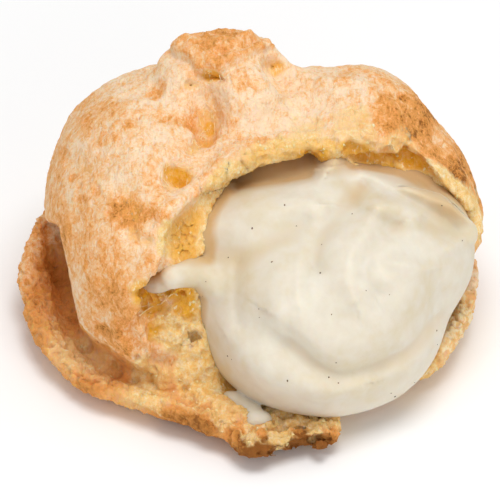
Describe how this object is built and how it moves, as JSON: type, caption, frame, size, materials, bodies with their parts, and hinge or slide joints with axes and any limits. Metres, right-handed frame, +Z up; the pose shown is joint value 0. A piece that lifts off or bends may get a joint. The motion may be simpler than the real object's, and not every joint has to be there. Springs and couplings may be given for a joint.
{
  "type": "cream puff",
  "caption": "Domed choux shell with a browned knob on top, torn open at the front over a saucer-shaped base, with whipped custard cream swelling out of the tear.",
  "frame": {"origin": "centre of the flat underside that the puff rests on", "axes": "+Z up through the dome, -Y out of the torn front where the cream shows, +X to the right seen from that front"},
  "size_m": [0.0807, 0.0826, 0.051],
  "materials": {
    "baked_choux": "matte baked choux crust, golden with browner edges",
    "custard_cream": "smooth soft custard cream with a faint satin sheen",
    "vanilla_seeds": "matte dark vanilla seeds scattered in the cream"
  },
  "bodies": {
    "root": {"choux_shell": "baked_choux", "cream_filling": "custard_cream"}
  },
  "joints": []
}
